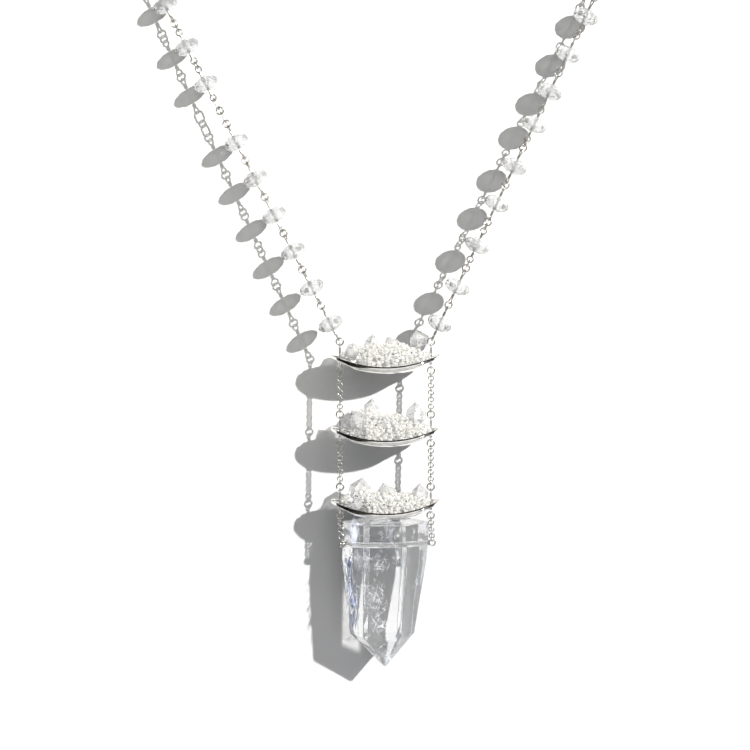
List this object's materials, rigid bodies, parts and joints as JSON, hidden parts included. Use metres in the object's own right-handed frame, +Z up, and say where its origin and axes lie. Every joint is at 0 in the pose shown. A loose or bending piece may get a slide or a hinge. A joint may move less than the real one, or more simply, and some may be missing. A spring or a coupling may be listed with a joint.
{
  "type": "quartz and silver ladder necklace",
  "caption": "Necklace of drilled quartz beads on silver wire that carries silver trays of loose quartz crystals, one below the other, and a drilled quartz point.",
  "frame": {"origin": "top of the neck loop, where the back of the neck carries the chain", "axes": "+Z up, -Y towards the front of the pendant, +X to the right as seen from the front"},
  "size_m": [0.1254, 0.0148, 0.2562],
  "materials": {
    "silver": "polished sterling silver",
    "quartz": "clear colourless quartz, natural and cut faces"
  },
  "bodies": {
    "necklace": {"chain_left": "silver", "chain_right": "silver", "beads_left": "quartz", "beads_right": "quartz", "clasp": "silver", "tray_top": "silver", "tray_middle": "silver", "tray_bottom": "silver", "pin_top_left": "silver", "pin_top_right": "silver", "pin_middle_left": "silver", "pin_middle_right": "silver", "pin_bottom_left": "silver", "pin_bottom_right": "silver", "ladder_upper_left": "silver", "ladder_upper_right": "silver", "ladder_lower_left": "silver", "ladder_lower_right": "silver", "drop_chain_left": "silver", "drop_chain_right": "silver", "stone_top_1": "quartz", "stone_top_2": "quartz", "stone_top_3": "quartz", "stone_top_4": "quartz", "stone_top_5": "quartz", "stone_top_6": "quartz", "stone_middle_1": "quartz", "stone_middle_2": "quartz", "stone_middle_3": "quartz", "stone_middle_4": "quartz", "stone_middle_5": "quartz", "stone_middle_6": "quartz", "stone_bottom_1": "quartz", "stone_bottom_2": "quartz", "stone_bottom_3": "quartz", "stone_bottom_4": "quartz", "stone_bottom_5": "quartz", "stone_bottom_6": "quartz", "chips_top": "quartz", "chips_middle": "quartz", "chips_bottom": "quartz", "point_wire": "silver"},
    "point": {"quartz_point": "quartz"}
  },
  "joints": [
    {"name": "point_swing", "type": "hinge", "parent": "necklace", "child": "point", "pos_m": [0.00194, 0.00058, -0.22236], "axis": [0.9962, 0.0872, 0], "range_deg": [-8, 2]}
  ]
}
